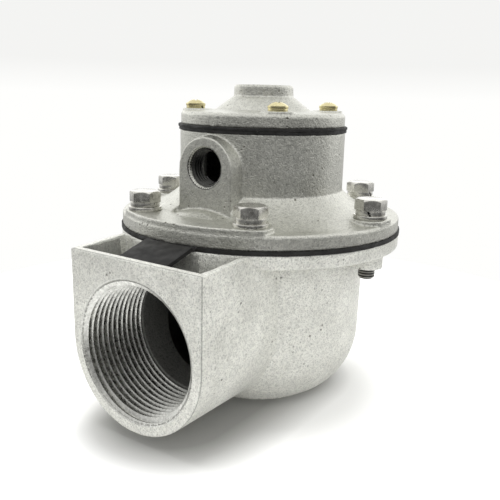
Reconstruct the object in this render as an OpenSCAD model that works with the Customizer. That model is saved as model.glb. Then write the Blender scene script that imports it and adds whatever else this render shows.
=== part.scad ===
// Right-angle two-stage pulse valve with a remote pilot port.
// Millimetres. +Z up. The origin is the centre of the outlet port's face,
// which the valve stands on. The inlet port faces -Y.

/* [Body] */
// Height of the body's flange face above the outlet face
flange_z = 63.4; // [62.4:0.2:66]
// From the bowl's side out to the flange's edge.
flange_out = 13.4; // [13:0.1:13.6]
// Thickness of the body's flange
flange_t = 5; // [4:0.5:7]
// Bowl radius where the wall meets the rounded bottom
bowl_r = 40.6; // [40:0.1:40.9]
// How much the bowl widens up to the flange.
bowl_draft = 0.5; // [0.3:0.1:1]
// Radius of the bowl's rounded bottom in section
bowl_round_r = 28.4; // [28:0.2:30]
// Height of the centre of the bowl's rounded bottom
bowl_round_z = 24.4; // [24:0.2:25.4]
// The bowl's wall.
bowl_wall = 3.2; // [3:0.1:4]
// Floor height of the ring chamber inside the bowl
chamber_floor_z = 5; // [4.5:0.1:6]
// Radius of the short ring that the valve stands on
foot_ring_r = 26.6; // [26.2:0.1:27]
// Height of that ring
foot_ring_h = 2.4; // [2:0.1:3]
// Radius of a bolt lug under the flange
lug_r = 5.6; // [5:0.1:6.5]
// How far a bolt lug reaches below the flange
lug_h = 4.8; // [3:0.2:6]
// Rounding of the flange's lower edge
flange_edge_r = 0.8; // [0.5:0.1:1.2]

/* [Pipe threads] */
// Distance from one turn of the large ports' thread to the next
pipe_pitch = 2.309; // [2.2:0.001:2.4]
// Depth of that thread
pipe_thread_h = 1.48; // [1.2:0.01:1.5]
// Half of the angle between a groove's two flanks
pipe_flank_a = 27.5; // [25:0.5:30]
// Plain wall between the first groove and the mouth
thread_land = 0.1; // [0.05:0.05:0.3]

/* [Outlet] */
// Minor radius of the outlet's pipe thread
outlet_thread_r = 22.425; // [22.2:0.005:22.6]
// Length of the outlet's threaded wall
outlet_thread_len = 24; // [20:0.5:26]
// Radius of the chamfer at the outlet's mouth
outlet_chamfer_r = 24; // [23.4:0.1:24.4]
// Depth of that chamfer
outlet_chamfer_h = 0.8; // [0.5:0.1:0.9]
// Bore radius of the outlet tube above the thread
outlet_bore_r = 20.5; // [19.5:0.1:21]
// The outlet tube's wall outside the thread's crests.
outlet_tube_t = 3.775; // [3.2:0.025:3.8]
// The neck's wall around the plain bore.
outlet_neck_t = 3.5; // [3:0.1:4]
// How far the seat lies under the flange's face.
seat_drop = 3.8; // [3.2:0.1:4.4]
// The seat lip's width.
seat_lip_w = 1.8; // [1.4:0.1:2.2]
// Height of the narrow lip
seat_lip_h = 1.4; // [1:0.1:2]

/* [Inlet] */
// Height of the inlet's axis
inlet_z = 31.2; // [31:0.1:31.8]
// Distance from the valve's axis to the inlet's face
inlet_face_y = 71.6; // [70:0.2:76]
// Half width of the inlet boss, and the radius of its round underside
inlet_half_w = 28.2; // [27.8:0.1:28.6]
// How far the boss's top lies under the flange's face at the mouth.
inlet_top_drop = 1.4; // [1:0.1:2]
// How far the boss's top lies under the flange's face at its edge.
inlet_back_drop = 0.4; // [0.2:0.1:0.8]
// Minor radius of the inlet's pipe thread
inlet_thread_r = 22.425; // [22.2:0.005:22.6]
// Length from the face to the end of the thread
inlet_thread_len = 27; // [25:0.5:28]
// Radius of the chamfer at the inlet's mouth
inlet_chamfer_r = 24.8; // [24:0.1:25.2]
// Depth of that chamfer
inlet_chamfer_h = 1.5; // [1:0.1:2]
// Radius of the cast bore behind the thread
inlet_bore_r = 21.9; // [21:0.1:22.3]
// Distance from the axis to the inner end of the cast bore
inlet_bore_end_y = 28.4; // [28:0.2:29.6]
// Thickness of the wall around the pocket at the front
pocket_front_t = 2.8; // [2.2:0.1:3.5]
// Thickness of the wall at each side of the pocket
pocket_side_t = 2.3; // [1.8:0.1:3]
// The inlet tube's wall outside the thread's crests, as the pocket shows it.
pocket_tube_t = 3.975; // [3.6:0.025:4.5]
// Lowest point of the pocket beside the tube
pocket_floor_z = 44; // [42:0.5:50]
// Wall left between the pocket and the flange's edge
pocket_back_t = 0.3; // [0.2:0.1:1]

/* [Flange bolts] */
// Number of flange bolts
bolt_n = 6; // [6:1:6]
// From the bolts' middles to the flange's edge.
bolt_edge = 7; // [6.6:0.1:7.4]
// Radius of the bolts' thread
bolt_r = 3; // [2.8:0.1:3.1]
// Length of a bolt below its head
bolt_len = 25; // [24:0.5:26]
// Width of a bolt's head across its flats
bolt_head_af = 10; // [9.8:0.1:10.2]
// Height of a bolt's head
bolt_head_h = 4; // [3.6:0.1:4.4]
// Outer radius of a flat washer
flat_washer_r = 6; // [5.8:0.1:6.4]
// Thickness of a flat washer
flat_washer_t = 1.4; // [1:0.1:1.6]
// Outer radius of a spring washer
spring_washer_r = 5.3; // [5:0.1:5.6]
// Thickness of a spring washer
spring_washer_t = 1.6; // [1.2:0.1:1.8]
// Radial room around a flat washer where its seat is cut into the shoulder
washer_seat_gap = 0.5; // [0.3:0.1:1]

/* [Main diaphragm] */
// How far the main diaphragm stands out past the body's flange
main_dia_out = 0.4; // [0.2:0.1:0.8]
// Thickness of the main diaphragm's rubber
main_dia_t = 1.4; // [1.2:0.1:2]
// How far the moulded dip leans inwards on the rubber's upper side
main_dip_shift = 0.6; // [0.3:0.1:0.8]
// Room between the bowl's inside and the dip of the diaphragm.
main_dip_room = 1.4; // [1:0.1:2]
// From the seat's lip out to the foot of the dip.
main_dip_start = 6.7; // [6.3:0.1:7.6]
// Half width of the rubber tongue over the inlet boss
tongue_half_w = 10.3; // [9:0.1:12]
// Distance from the axis to the tongue's end
tongue_y = 67.6; // [66:0.1:68]
// Distance from the flange's edge to the tongue's bend
tongue_bend = 0.8; // [0.6:0.1:2]
// How far the tongue's end droops
tongue_drop = 3.8; // [3:0.1:4.2]
// From the seat's lip out to the bleed eyelet's middle.
bleed_out = 3.7; // [3.5:0.1:3.8]
// Outer radius of the bleed eyelet's tube
eyelet_r = 1.5; // [1.3:0.1:1.7]
// Radius of its flanges
eyelet_flange_r = 2.2; // [2:0.1:2.4]
// Thickness of its flanges
eyelet_flange_t = 0.6; // [0.4:0.1:0.8]
// Radius of its bore
eyelet_bore_r = 0.8; // [0.6:0.1:1]

/* [Main disc] */
// How far the backing plate reaches past the seat's lip.
main_plate_over = 0.7; // [-0.5:0.1:1]
// Thickness of that plate
main_plate_t = 2; // [1.5:0.1:2.4]
// Room between the retainer plate and the bore of the seat.
main_retainer_gap = 3.5; // [1.5:0.1:6]
// Thickness of that plate
main_retainer_t = 2; // [1.5:0.1:2.4]
// Thickness of the centre nut
main_nut_h = 5; // [4:0.2:5.4]
// Mean radius of the main spring's coil
main_spring_r = 13; // [12:0.2:15]
// Radius of the main spring's wire
main_spring_wire_r = 0.8; // [0.6:0.05:0.9]
// Number of turns in the main spring
main_spring_turns = 3.5; // [3:0.5:4]

/* [Bonnet] */
// How far the bonnet's flange stays inside the body's flange
bonnet_inset = 0.3; // [0:0.1:0.4]
// The bonnet rim's height.
bonnet_rim_h = 5.1; // [5:0.1:5.6]
// Rounding of the flange's upper edge
bonnet_edge_r = 1.2; // [0.8:0.1:1.4]
// Outer radius of the upper housing
housing_r = 31.6; // [31.4:0.1:31.8]
// How far the mound under the exhaust boss rises above the bolt pads
mound_h = 2.1; // [1.6:0.1:2.4]
// Radius of the mound's rounded top in section
mound_r = 36.4; // [32:0.4:44]
// Slope of the mound's top towards the rim, in degrees
mound_a = 11.6; // [9:0.2:14]
// Height of that hollow's floor above the bolt pads
mound_step = 0.05; // [0.05:0.01:0.1]
// Half width of the hollow that shows the mound
mound_half_w = 12.4; // [12:0.1:13]
// The shoulder's height where it meets the housing.
shoulder_h = 13.5; // [13.2:0.1:14]
// Radius of the shoulder's hollow curve
shoulder_curve_r = 29.4; // [29.2:0.1:29.8]
// From the housing's side out to the middle of the shoulder's curve.
shoulder_curve_out = 20.8; // [20.6:0.1:21]
// The bolt pads' height on the bonnet.
bolt_pad_h = 6.8; // [6.6:0.1:7.2]
// Radius of a bolt pad
bolt_pad_r = 7.6; // [7.2:0.1:8]
// How far the pads' outer wall stays inside the flange's edge
pad_inset = 0.3; // [0.2:0.05:0.6]
// The housing's height above the shoulder.
housing_h = 21.9; // [21.7:0.1:22.7]
// From the housing's side out to the control chamber's side.
control_out = 6.4; // [5.4:0.1:6.8]
// Height of the control chamber's straight wall above the joint
control_wall_h = 4.8; // [4:0.1:5.4]
// How far the control chamber's top lies under the shoulder's top.
control_top_drop = 3.3; // [3.1:0.1:3.7]
// The floor between the control chamber and the exhaust chamber.
exhaust_floor_t = 4; // [3.6:0.1:5]
// The housing's wall.
housing_wall = 3.4; // [3:0.1:4]
// The pilot seat tube's wall.
pilot_tube_t = 2.6; // [2.2:0.1:3.2]
// Bore radius of the pilot seat's tube
pilot_bore_r = 8.4; // [7.8:0.1:8.8]
// How far the pilot seat lies under the housing's top.
pilot_seat_drop = 2.6; // [2.2:0.1:2.8]
// Radius of a screw column inside the housing
column_r = 4.4; // [4.2:0.1:4.8]
// Thickness of the wall around the exhaust chamber where the ceiling slopes in
control_slope_t = 3; // [2.4:0.1:3.6]

/* [Exhaust port] */
// The exhaust port's height above the shoulder's top.
exhaust_port_h = 10; // [9.6:0.1:10.5]
// How far the exhaust boss stands out of the housing.
exhaust_reach = 4.2; // [3.6:0.1:4.8]
// Half width of the boss at its face
exhaust_face_half_w = 11.5; // [11.2:0.1:11.8]
// Half width of the boss at its root
exhaust_root_half_w = 12.1; // [11.9:0.1:12.4]
// How far the boss's root lies inside the housing.
exhaust_root_in = 3.6; // [3.2:0.1:4]
// How far the arch's middle lies under the port's middle.
exhaust_arch_drop = 1; // [0.7:0.1:1.3]
// Minor radius of the exhaust port's thread
exhaust_thread_r = 5.72; // [5.6:0.01:5.8]
// Radius of the chamfer at the exhaust port's mouth
exhaust_chamfer_r = 7.6; // [7.2:0.1:8]
// Depth of that chamfer
exhaust_chamfer_h = 1.8; // [1.2:0.1:2]

/* [Pilot diaphragm] */
// How far the pilot diaphragm stands out past the housing
pilot_dia_out = 0.6; // [0.3:0.1:0.9]
// Thickness of the pilot diaphragm
pilot_dia_t = 1.1; // [0.9:0.1:1.3]
// How far the cover gasket stands out past the housing
cover_gasket_out = 0.9; // [0.4:0.1:1.1]
// Thickness of the cover gasket
cover_gasket_t = 1; // [0.8:0.1:1.2]
// Room between the cover's chamber and the dip of the pilot diaphragm.
pilot_dip_room = 0.6; // [0.2:0.1:1]
// From the pilot plate's edge out to the foot of the dip.
pilot_dip_start = 3.5; // [3.1:0.1:4.1]
// How far that dip leans inwards on the rubber's upper side
pilot_dip_shift = 0.35; // [0.2:0.05:0.5]
// Radius of the plate above the pilot diaphragm
pilot_plate_r = 10.5; // [9.5:0.1:11]
// Thickness of the pilot plates
pilot_plate_t = 1.2; // [1:0.1:1.4]
// Room between the pilot retainer plate and its seat's bore.
pilot_retainer_gap = 2; // [1.4:0.1:2.9]
// Radius of the pilot rivet's shank
pilot_rivet_r = 1.95; // [1.8:0.05:2.1]
// Radius of the pilot rivet's heads
pilot_rivet_head_r = 3.2; // [3:0.1:3.6]
// Height of a rivet head
pilot_rivet_head_h = 1.2; // [1:0.1:1.4]
// Mean radius of the pilot spring's coil
pilot_spring_r = 7.2; // [6.9:0.1:8]
// Radius of the pilot spring's wire
pilot_spring_wire_r = 0.5; // [0.4:0.05:0.55]
// Number of turns in the pilot spring
pilot_spring_turns = 3.5; // [3:0.5:4]

/* [Top cover] */
// How far the cover's rim stays inside the housing
cover_inset = 0.3; // [0:0.1:0.4]
// The height of the cover's edge.
cover_edge_h = 4.8; // [4.6:0.1:5]
// Rounding of the cover's upper edge
cover_edge_r = 1.4; // [1:0.1:1.6]
// From the cover's edge up to its top.
cover_top_h = 0.4; // [0.2:0.1:0.6]
// Rise of the flat top towards the cone
cover_rise = 0.3; // [0.1:0.1:0.5]
// Width of that rising band
cover_band = 4; // [3:0.5:5]
// From the screws' middles in to the cone's foot.
cone_from_screws = 7.7; // [7.3:0.1:8.3]
// Radius where the cone meets the pilot boss
cone_top_r = 12.2; // [12:0.1:12.6]
// The cone's height.
cone_h = 4.8; // [4.5:0.1:5.3]
// Radius of the pilot boss
pilot_boss_r = 11.2; // [11:0.1:11.4]
// The pilot boss's height above the cone.
pilot_boss_h = 4.7; // [4.3:0.1:5.3]
// Chamfer of the pilot boss's top edge
pilot_boss_chamfer = 0.7; // [0.5:0.1:0.9]
// Minor radius of the pilot port's thread
pilot_thread_r = 5.72; // [5.6:0.01:5.8]
// Radius of the chamfer at the pilot port's mouth
pilot_chamfer_r = 7.4; // [7:0.1:8]
// Depth of that chamfer
pilot_chamfer_h = 1.2; // [0.8:0.1:1.5]
// The cover's land around its chamber, out to the housing's side.
cover_land = 12; // [11.6:0.1:12.6]
// The cover's thickness over its chamber.
cover_top_t = 1.5; // [1.3:0.1:2.1]

/* [Cover screws] */
// Number of cover screws
screw_n = 4; // [4:1:4]
// From the cover screws' middles to the housing's side.
screw_edge = 5.7; // [5.4:0.1:6]
// Radius of the screws' thread
screw_r = 2; // [1.9:0.05:2.1]
// Length of a screw below its head
screw_len = 14; // [12:0.5:15]
// Radius of a screw's head
screw_head_r = 3.65; // [3.4:0.05:4]
// Height of a screw's head
screw_head_h = 2.3; // [2:0.1:2.6]
// How far the screw pads rise over the cover's top.
screw_pad_h = 0.5; // [0.4:0.1:0.7]
// Radius of a screw pad
screw_pad_r = 6; // [5.6:0.1:6.4]
// Outer radius of a screw's spring washer
screw_washer_r = 3.5; // [3.3:0.1:3.8]
// Thickness of a screw's spring washer
screw_washer_t = 0.9; // [0.7:0.1:1.1]

/* [Hidden] */
$fn = 96;
// Radial room between a fastener and its hole
thread_fit = 0.05;
clear_fit = 0.3;
tiny = 0.01;
boss_top_in = 6;
cut_over = 5;
neck_above = 8;
// Angle of the first bolt and the first screw from the inlet's direction
bolt_first_a = 30;
screw_first_a = 45;
flange_r = bowl_r + flange_out;
bowl_top_r = bowl_r + bowl_draft;
bowl_in_r = bowl_r - bowl_wall;
outlet_tube_r = outlet_thread_r + outlet_tube_t;
outlet_neck_r = outlet_bore_r + outlet_neck_t;
seat_lip_r = outlet_bore_r + seat_lip_w;
pocket_tube_r = inlet_thread_r + pocket_tube_t;
bolt_circle_r = flange_r - bolt_edge;
seat_z = flange_z - seat_drop;
inlet_top_z = flange_z - inlet_top_drop;
inlet_back_top_z = flange_z - inlet_back_drop;
bonnet_z = flange_z + main_dia_t;
bonnet_rim_z = bonnet_z + bonnet_rim_h;
shoulder_z = bonnet_z + shoulder_h;
bolt_pad_z = bonnet_z + bolt_pad_h;
housing_top_z = shoulder_z + housing_h;
control_top_z = shoulder_z - control_top_drop;
exhaust_floor_z = control_top_z + exhaust_floor_t;
pilot_seat_z = housing_top_z - pilot_seat_drop;
exhaust_port_z = shoulder_z + exhaust_port_h;
exhaust_arch_z = exhaust_port_z - exhaust_arch_drop;
main_dia_r = flange_r + main_dia_out;
main_dip_outer_r = bowl_in_r - main_dip_room;
main_dip_inner_r = seat_lip_r + main_dip_start;
bleed_place_r = seat_lip_r + bleed_out;
main_plate_r = seat_lip_r + main_plate_over;
main_retainer_r = outlet_bore_r - main_retainer_gap;
bonnet_flange_r = flange_r - bonnet_inset;
control_r = housing_r + control_out;
shoulder_curve_x = housing_r + shoulder_curve_out;
exhaust_r = housing_r - housing_wall;
exhaust_face_y = housing_r + exhaust_reach;
exhaust_root_y = housing_r - exhaust_root_in;
pilot_tube_r = pilot_bore_r + pilot_tube_t;
pilot_retainer_r = pilot_bore_r - pilot_retainer_gap;
pilot_dia_r = housing_r + pilot_dia_out;
cover_gasket_r = housing_r + cover_gasket_out;
cover_r = housing_r - cover_inset;
cover_chamber_r = housing_r - cover_land;
pilot_dip_outer_r = cover_chamber_r - pilot_dip_room;
pilot_dip_inner_r = pilot_plate_r + pilot_dip_start;
screw_circle_r = housing_r - screw_edge;
gasket_z = housing_top_z + pilot_dia_t;
cover_z = gasket_z + cover_gasket_t;
cover_edge_z = cover_z + cover_edge_h;
cover_top_z = cover_edge_z + cover_top_h;
cover_chamber_z = cover_top_z - cover_top_t;
cone_foot_r = screw_circle_r - cone_from_screws;
cone_top_z = cover_top_z + cone_h;
pilot_boss_z = cone_top_z + pilot_boss_h;
screw_pad_z = cover_top_z + screw_pad_h;
bolt_seat_z = bolt_pad_z + flat_washer_t + spring_washer_t;
screw_seat_z = screw_pad_z + screw_washer_t;
bolt_hole_z = bolt_seat_z - bolt_len - 0.6;
screw_hole_z = screw_seat_z - screw_len - 1;
main_disc_z = seat_z + main_dia_t;
main_nut_z = main_disc_z + main_plate_t;
pilot_disc_z = pilot_seat_z + pilot_dia_t;
pilot_rivet_top_z = pilot_disc_z + pilot_plate_t;
shoulder_curve_z = shoulder_z + sqrt(pow(shoulder_curve_r, 2) - pow(shoulder_curve_x - housing_r, 2));
exhaust_slope = (exhaust_root_half_w - exhaust_face_half_w) / (exhaust_face_y - exhaust_root_y);
boss_top_slope = (inlet_back_top_z - inlet_top_z) / (inlet_face_y - flange_r);
metal = [0.72, 0.73, 0.74];
rubber = [0.08, 0.08, 0.08];
steel = [0.62, 0.62, 0.6];
brass = [0.72, 0.62, 0.32];

// Places children at each flange bolt.
module at_bolts() {
    for (i = [0 : bolt_n - 1])
        rotate([0, 0, bolt_first_a + i * 360 / bolt_n])
            translate([0, -bolt_circle_r, 0])
                children();
}

// Places children at each cover screw.
module at_screws() {
    for (i = [0 : screw_n - 1])
        rotate([0, 0, screw_first_a + i * 360 / screw_n])
            translate([0, -screw_circle_r, 0])
                children();
}

module rod(r, z0, z1) {
    translate([0, 0, z0])
        cylinder(r = r, h = z1 - z0);
}

module cone(r0, r1, z0, z1) {
    translate([0, 0, z0])
        cylinder(r1 = r0, r2 = r1, h = z1 - z0);
}

// A rod along the inlet's direction, from y = -y0 outwards to y = -y1.
module front_rod(r, z, y0, y1) {
    translate([0, -y0, z])
        rotate([90, 0, 0])
            cylinder(r = r, h = y1 - y0);
}

module front_cone(r0, r1, z, y0, y1) {
    translate([0, -y0, z])
        rotate([90, 0, 0])
            cylinder(r1 = r0, r2 = r1, h = y1 - y0);
}

// An outline in Y and Z pushed out along X to both sides of the middle.
module side_slab(half_w, outline) {
    translate([-half_w, 0, 0])
        rotate([90, 0, 90])
            linear_extrude(height = 2 * half_w)
                polygon(outline);
}

// Cuts the outer corner of a round section down to an arc.
module outer_corner(r, z, round_r) {
    difference() {
        translate([r - round_r, z - round_r])
            square([round_r + 1, round_r + 1]);
        translate([r - round_r, z - round_r])
            circle(r = round_r);
    }
}

// A round wire wound into an open coil.
module coil(mean_r, wire_r, turns, z0, z1) {
    steps = 20;
    sides = 10;
    total = turns * steps;
    low = z0 + wire_r;
    high = z1 - wire_r;
    ring = [for (i = [0 : total])
        let (a = i * 360 / steps, z = low + (high - low) * i / total)
            for (j = [0 : sides - 1])
                let (b = j * 360 / sides, r = mean_r + wire_r * cos(b))
                    [r * cos(a), r * sin(a), z + wire_r * sin(b)]];
    side_faces = [for (i = [0 : total - 1])
        for (j = [0 : sides - 1])
            let (k = (j + 1) % sides)
                [i * sides + j, i * sides + k, (i + 1) * sides + k, (i + 1) * sides + j]];
    first = [for (j = [0 : sides - 1]) sides - 1 - j];
    last = [for (j = [0 : sides - 1]) total * sides + j];
    polyhedron(points = ring, faces = concat([first], side_faces, [last]), convexity = 8);
}

module body_outside() {
    rotate_extrude() {
        difference() {
            translate([0, flange_z - flange_t])
                square([flange_r, flange_t]);
            translate([0, 2 * flange_z - flange_t])
                mirror([0, 1])
                    outer_corner(flange_r, flange_z, flange_edge_r);
        }
        polygon([[0, bowl_round_z], [bowl_r, bowl_round_z], [bowl_top_r, flange_z - flange_t + tiny],
                 [0, flange_z - flange_t + tiny]]);
        intersection() {
            translate([bowl_r - bowl_round_r, bowl_round_z])
                circle(r = bowl_round_r);
            translate([0, foot_ring_h])
                square([bowl_r + 1, bowl_round_z - foot_ring_h + tiny]);
        }
        square([foot_ring_r, foot_ring_h + tiny]);
        square([outlet_tube_r, bowl_round_z]);
    }
    at_bolts() {
        rod(lug_r, flange_z - flange_t - lug_h, flange_z - 1);
        translate([-lug_r, 0, flange_z - flange_t - lug_h])
            cube([2 * lug_r, bolt_circle_r - bowl_in_r, lug_h + 1]);
    }
}

// The inlet boss: square above, half round below, with a top that rises to the flange.
module inlet_boss() {
    difference() {
        union() {
            front_rod(inlet_half_w, inlet_z, outlet_tube_r, inlet_face_y);
            translate([-inlet_half_w, -inlet_face_y, inlet_z])
                cube([2 * inlet_half_w, inlet_face_y - outlet_tube_r, flange_z - 1 - inlet_z]);
            side_slab(inlet_half_w, [[-inlet_face_y, flange_z - 2], [-inlet_face_y, inlet_top_z],
                                     [boss_top_in - flange_r,
                                      inlet_back_top_z + boss_top_in * boss_top_slope],
                                     [boss_top_in - flange_r, flange_z - 2]]);
        }
        side_slab(inlet_half_w + 1, [[-inlet_face_y - 1, inlet_top_z - boss_top_slope],
                                     [2 * boss_top_in - flange_r,
                                      inlet_back_top_z + 2 * boss_top_in * boss_top_slope],
                                     [2 * boss_top_in - flange_r, flange_z + cut_over],
                                     [-inlet_face_y - 1, flange_z + cut_over]]);
    }
}

// The open space on top of the boss, between its walls, the thread's tube and the flange.
module inlet_pocket() {
    pocket_half_w = inlet_half_w - pocket_side_t;
    difference() {
        translate([-pocket_half_w, -inlet_face_y + pocket_front_t, pocket_floor_z])
            cube([2 * pocket_half_w, inlet_face_y - pocket_front_t - bowl_in_r,
                  flange_z + cut_over - pocket_floor_z]);
        front_rod(pocket_tube_r, inlet_z, outlet_tube_r, inlet_face_y);
        rod(flange_r + pocket_back_t, 0, flange_z + cut_over + 1);
    }
}

// The ring chamber between the bowl and the outlet tube.
module ring_chamber() {
    neck_z = outlet_thread_len + neck_above;
    rotate_extrude()
        difference() {
            union() {
                intersection() {
                    translate([bowl_r - bowl_round_r, bowl_round_z])
                        circle(r = bowl_round_r - (bowl_r - bowl_in_r));
                    translate([0, chamber_floor_z])
                        square([bowl_r, bowl_round_z - chamber_floor_z + tiny]);
                }
                translate([0, bowl_round_z])
                    square([bowl_in_r, flange_z + 1 - bowl_round_z]);
            }
            polygon([[0, 0], [outlet_tube_r, 0], [outlet_tube_r, neck_z - 3], [outlet_neck_r, neck_z],
                     [outlet_neck_r, seat_z - seat_lip_h - 1], [seat_lip_r, seat_z - seat_lip_h],
                     [seat_lip_r, seat_z], [0, seat_z]]);
        }
}

// The hollow of a threaded bore: plain to its ends, with a groove at each turn between them.
module threaded_bore(minor_r, length, chamfer_h, past_mouth) {
    turns = floor((length - chamfer_h - thread_land) / pipe_pitch);
    root_half = (pipe_pitch / 2 - pipe_thread_h * tan(pipe_flank_a)) / 2;
    mouth_half = root_half + pipe_thread_h * tan(pipe_flank_a);
    first = length - chamfer_h - thread_land - turns * pipe_pitch;
    grooves = [for (i = [0 : turns - 1])
        let (mid = first + (i + 0.5) * pipe_pitch)
            for (point = [[0, -mouth_half], [pipe_thread_h, -root_half],
                          [pipe_thread_h, root_half], [0, mouth_half]])
                [minor_r + point[0], mid + point[1]]];
    rotate_extrude()
        polygon(concat([[0, 0], [minor_r, 0]], grooves,
                       [[minor_r, length + past_mouth], [0, length + past_mouth]]));
}

module valve_body() {
    color(metal)
        difference() {
            union() {
                body_outside();
                inlet_boss();
            }
            ring_chamber();
            translate([0, 0, outlet_thread_len])
                rotate([180, 0, 0])
                    threaded_bore(outlet_thread_r, outlet_thread_len, outlet_chamfer_h, 1);
            rod(outlet_bore_r, outlet_thread_len - 1, seat_z + 1);
            cone(outlet_chamfer_r + (outlet_chamfer_r - outlet_thread_r) / outlet_chamfer_h,
                 outlet_thread_r, -1, outlet_chamfer_h);
            translate([0, inlet_thread_len - inlet_face_y, inlet_z])
                rotate([90, 0, 0])
                    threaded_bore(inlet_thread_r, inlet_thread_len, inlet_chamfer_h, 1);
            front_rod(inlet_bore_r, inlet_z, inlet_bore_end_y, inlet_face_y - inlet_thread_len + 1);
            front_cone(inlet_thread_r,
                       inlet_chamfer_r + (inlet_chamfer_r - inlet_thread_r) / inlet_chamfer_h,
                       inlet_z, inlet_face_y - inlet_chamfer_h, inlet_face_y + 1);
            inlet_pocket();
            at_bolts()
                rod(bolt_r + thread_fit, bolt_hole_z, flange_z + 1);
        }
}

// One moulded sheet: clamped rim, dip to the seat, and a tongue over the inlet boss.
module main_diaphragm() {
    dip = flange_z - seat_z;
    bend_y = main_dia_r + tongue_bend - main_dia_out;
    color(rubber)
        difference() {
            union() {
                rotate_extrude()
                    polygon([[bolt_r + thread_fit, seat_z], [main_dip_inner_r, seat_z],
                             [main_dip_outer_r, flange_z], [main_dia_r, flange_z], [main_dia_r, bonnet_z],
                             [main_dip_outer_r - main_dip_shift, bonnet_z],
                             [main_dip_inner_r - main_dip_shift, bonnet_z - dip],
                             [bolt_r + thread_fit, bonnet_z - dip]]);
                side_slab(tongue_half_w, [[2 - flange_r, flange_z + tiny], [-bend_y, flange_z + tiny],
                                          [-tongue_y, flange_z - tongue_drop],
                                          [-tongue_y, bonnet_z - tongue_drop],
                                          [-bend_y, bonnet_z - tiny], [2 - flange_r, bonnet_z - tiny]]);
            }
            at_bolts()
                rod(bolt_r + clear_fit, flange_z - 1, bonnet_z + 1);
            translate([0, bleed_place_r, 0])
                rod(eyelet_r + thread_fit, seat_z - 1, bonnet_z);
        }
}

module main_backing_plate() {
    color(steel)
        difference() {
            rod(main_plate_r, main_disc_z, main_nut_z);
            rod(bolt_r + thread_fit, main_disc_z - 1, main_nut_z + 1);
        }
}

module main_retainer_plate() {
    color(steel)
        difference() {
            rod(main_retainer_r, seat_z - main_retainer_t, seat_z);
            rod(bolt_r + thread_fit, seat_z - main_retainer_t - 1, seat_z + 1);
        }
}

module hexagon_head(across_flats, z0, z1, r_hole) {
    difference() {
        translate([0, 0, z0])
            cylinder(r = across_flats / sqrt(3), h = z1 - z0, $fn = 6);
        rod(r_hole, z0 - 1, z1 + 1);
    }
}

module main_centre_screw() {
    color(steel) {
        translate([0, 0, seat_z - main_retainer_t - bolt_head_h])
            cylinder(r = bolt_head_af / sqrt(3), h = bolt_head_h, $fn = 6);
        rod(bolt_r, seat_z - main_retainer_t - tiny, main_nut_z + main_nut_h);
    }
}

module main_centre_nut() {
    color(steel)
        hexagon_head(bolt_head_af, main_nut_z, main_nut_z + main_nut_h, bolt_r + thread_fit);
}

// A small flanged tube that lets inlet pressure bleed through the diaphragm.
module bleed_eyelet() {
    color(brass)
        translate([0, bleed_place_r, 0])
            difference() {
                union() {
                    rod(eyelet_r, seat_z - eyelet_flange_t, main_disc_z + eyelet_flange_t);
                    rod(eyelet_flange_r, seat_z - eyelet_flange_t, seat_z);
                    rod(eyelet_flange_r, main_disc_z, main_disc_z + eyelet_flange_t);
                }
                rod(eyelet_bore_r, seat_z - 2, main_disc_z + 2);
            }
}

module main_spring() {
    color(steel)
        coil(main_spring_r, main_spring_wire_r, main_spring_turns, main_nut_z, control_top_z);
}

module bonnet_outside() {
    rotate_extrude() {
        translate([0, bonnet_z])
            square([housing_r, housing_top_z - bonnet_z]);
        difference() {
            translate([0, bonnet_z])
                square([bolt_circle_r + bolt_r, shoulder_z - bonnet_z]);
            translate([shoulder_curve_x, shoulder_curve_z])
                circle(r = shoulder_curve_r);
        }
        difference() {
            translate([0, bonnet_z])
                square([bonnet_flange_r, bonnet_rim_z - bonnet_z]);
            outer_corner(bonnet_flange_r, bonnet_rim_z, bonnet_edge_r);
        }
    }
    translate([0, 0, bonnet_z + 1])
        linear_extrude(height = bolt_pad_z - bonnet_z - 1)
            intersection() {
                circle(r = bonnet_flange_r - pad_inset);
                union() {
                    at_bolts()
                        circle(r = bolt_pad_r);
                    polygon([[0, 0], [-2 * flange_r * tan(bolt_first_a), -2 * flange_r],
                             [2 * flange_r * tan(bolt_first_a), -2 * flange_r]]);
                }
            }
}

// What is cut from the shoulder in front of the exhaust boss, down to a rounded mound.
module mound_hollow() {
    difference() {
        translate([-mound_half_w, -bolt_circle_r, bolt_pad_z + mound_step])
            cube([2 * mound_half_w, bolt_circle_r - exhaust_face_y, shoulder_z - bolt_pad_z]);
        translate([0, -exhaust_face_y, bolt_pad_z + mound_h])
            rotate([90 + mound_a, 0, 0])
                translate([0, -mound_r, -mound_r])
                    cylinder(r = mound_r, h = 3 * mound_r);
    }
}

// The arched boss of the exhaust port, wider at its root.
module exhaust_boss() {
    inner_y = exhaust_root_y - 6;
    inner_half_w = exhaust_root_half_w + 6 * exhaust_slope;
    intersection() {
        union() {
            intersection() {
                front_cone(inner_half_w, exhaust_face_half_w, exhaust_arch_z, inner_y, exhaust_face_y);
                translate([-flange_r, -flange_r, exhaust_arch_z])
                    cube([2 * flange_r, flange_r, flange_r]);
            }
            translate([0, 0, bonnet_z + 2])
                linear_extrude(height = exhaust_arch_z - bonnet_z - 2)
                    polygon([[-exhaust_face_half_w, -exhaust_face_y], [exhaust_face_half_w, -exhaust_face_y],
                             [inner_half_w, -inner_y], [-inner_half_w, -inner_y]]);
        }
        rod(flange_r, bonnet_z, housing_top_z);
    }
}

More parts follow.
